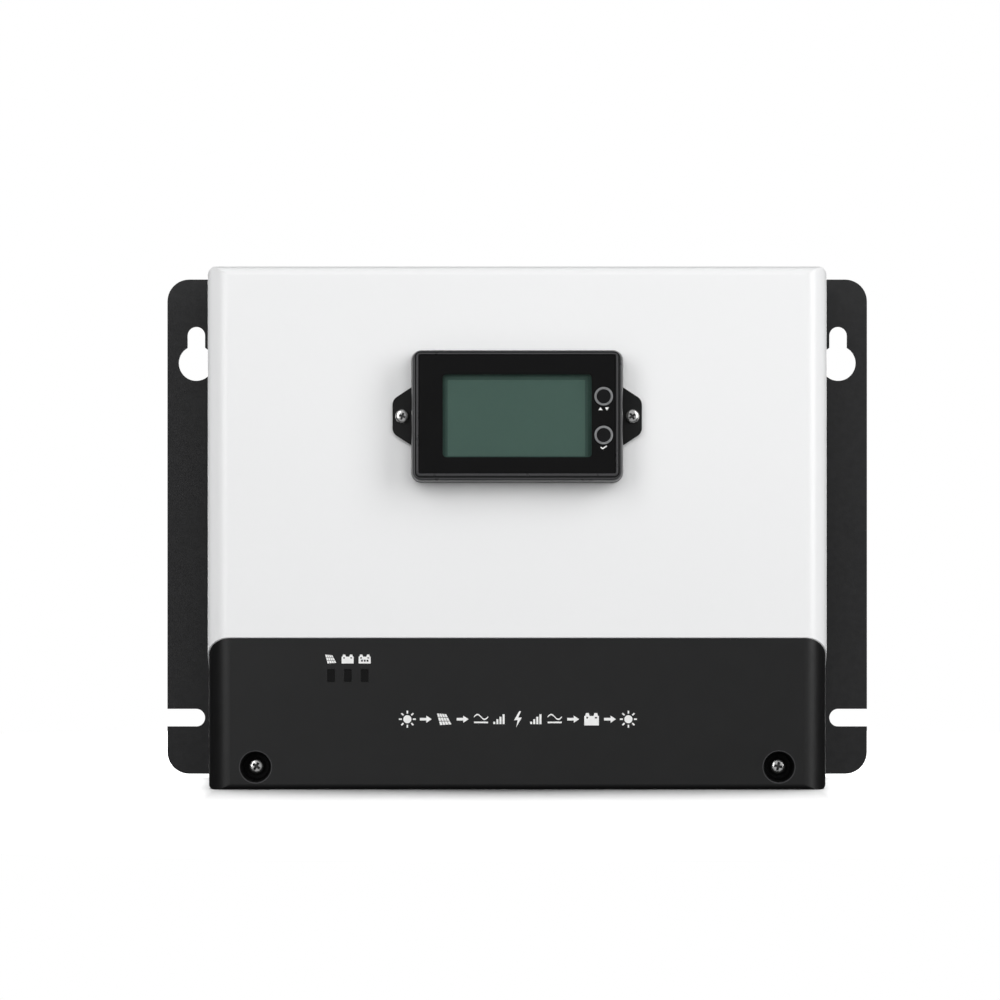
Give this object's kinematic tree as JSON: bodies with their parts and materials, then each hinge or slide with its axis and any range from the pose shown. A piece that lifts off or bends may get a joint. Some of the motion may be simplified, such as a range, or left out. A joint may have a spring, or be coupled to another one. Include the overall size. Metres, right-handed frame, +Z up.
{
  "type": "solar charge controller",
  "caption": "Wall-mounted solar charge controller with a finned heat sink, keyhole flanges, a screw-on LCD and a lower terminal cover.",
  "frame": {"origin": "centre of the four wall screws, on the wall plane", "axes": "+X to the right seen from the front, +Y into the wall, +Z up"},
  "size_m": [0.3208, 0.112, 0.2306],
  "materials": {
    "powder_coat_black": "fine sand-textured powder coat, satin",
    "anodised_black": "black anodised extrusion, satin",
    "shell_white": "moulded, fine satin texture",
    "cover_black": "moulded, fine satin texture",
    "display_black": "moulded, satin, with a smooth rim",
    "overlay_black": "printed overlay, semi-gloss",
    "window_clear": "clear hard-coated window",
    "lcd_green": "unlit grey-green LCD, semi-gloss",
    "diffuser_white": "milky light guide",
    "button_black": "satin rubberised plastic",
    "ring_grey": "printed grey ring",
    "smoked_light_pipe": "smoked clear acrylic",
    "screw_nickel": "bright nickel plate",
    "screw_zinc": "zinc plate, satin",
    "brass": "machined brass",
    "tinned_brass": "tinned brass, dull",
    "circuit_green": "solder mask with traces, semi-gloss",
    "circuit_blue": "solder mask, semi-gloss",
    "epoxy_black": "moulded epoxy",
    "thermal_pad": "grey-blue silicone sheet",
    "ferrite_core": "coated powder core, matt",
    "copper_wire": "enamelled copper, glossy",
    "copper_bar": "tinned copper bar",
    "capacitor_sleeve": "shrink sleeve, aluminium top",
    "fuse_green": "translucent green fuse body",
    "shunt_alloy": "resistance alloy strip",
    "transformer_tape": "yellow winding tape on ferrite",
    "connector_black": "glass-filled nylon",
    "connector_green": "polyamide",
    "connector_grey": "shielded socket",
    "led_lens": "clear LED package",
    "fan_black": "glass-filled plastic",
    "wire_black": "soft insulated lead",
    "ribbon_grey": "flat ribbon cable"
  },
  "bodies": {
    "chassis": {"mounting_plate": "powder_coat_black", "heat_sink": "anodised_black", "heat_sink_fins": "anodised_black", "plate_screws": "screw_zinc", "front_shell": "shell_white", "shell_screws": "screw_zinc", "bottom_panel": "powder_coat_black", "bottom_panel_screws": "screw_zinc", "bay_divider": "connector_black", "divider_screws": "screw_zinc", "main_board": "circuit_green", "board_standoffs": "brass", "board_screws": "screw_zinc", "mosfets": "epoxy_black", "thermal_pads": "thermal_pad", "inductor_cores": "ferrite_core", "inductor_windings": "copper_wire", "pv_capacitors": "capacitor_sleeve", "battery_capacitors": "capacitor_sleeve", "bus_bars": "copper_bar", "blade_fuses": "fuse_green", "current_shunt": "shunt_alloy", "supply_transformer": "transformer_tape", "control_board": "circuit_blue", "terminal_block": "connector_black", "terminal_partitions": "connector_black", "terminal_face": "connector_black", "terminal_clamps": "tinned_brass", "terminal_screws": "screw_zinc", "comm_port": "connector_grey", "sensor_connector": "connector_green", "relay_connector": "connector_green", "earth_terminal": "tinned_brass", "led_board": "circuit_green", "indicator_leds": "led_lens", "cover_posts": "brass", "fan_left_frame": "fan_black", "fan_right_frame": "fan_black", "fan_screws": "screw_zinc", "fan_leads": "wire_black", "display_housing": "display_black", "display_bezel": "display_black", "display_overlay": "overlay_black", "display_lens": "window_clear", "lcd_panel": "lcd_green", "lcd_backlight": "diffuser_white", "display_board": "circuit_green", "tact_switches": "epoxy_black", "button_rings": "ring_grey", "display_case_screws": "screw_zinc", "display_screws": "screw_nickel", "display_nuts": "screw_zinc", "display_cable": "ribbon_grey"},
    "terminal_cover": {"terminal_cover": "cover_black", "cover_screws": "screw_nickel", "light_pipes": "smoked_light_pipe"},
    "select_button": {"select_button": "button_black"},
    "enter_button": {"enter_button": "button_black"},
    "fan_left_rotor": {"fan_left_rotor": "fan_black"},
    "fan_right_rotor": {"fan_right_rotor": "fan_black"}
  },
  "joints": [
    {"name": "cover_removal", "type": "slide", "parent": "chassis", "child": "terminal_cover", "axis": [0, -1, 0], "range_m": [0, 0.11]},
    {"name": "select_press", "type": "slide", "parent": "chassis", "child": "select_button", "axis": [0, 1, 0], "range_m": [0, 0.0008], "stiffness_N_per_m": 2000, "springref_m": -0.0002},
    {"name": "enter_press", "type": "slide", "parent": "chassis", "child": "enter_button", "axis": [0, 1, 0], "range_m": [0, 0.0008], "stiffness_N_per_m": 2000, "springref_m": -0.0002},
    {"name": "fan_left_spin", "type": "hinge", "parent": "chassis", "child": "fan_left_rotor", "pos_m": [-0.055, -0.0635, 0.1], "axis": [0, 0, 1], "continuous": true},
    {"name": "fan_right_spin", "type": "hinge", "parent": "chassis", "child": "fan_right_rotor", "pos_m": [0.055, -0.0635, 0.1], "axis": [0, 0, 1], "continuous": true}
  ]
}
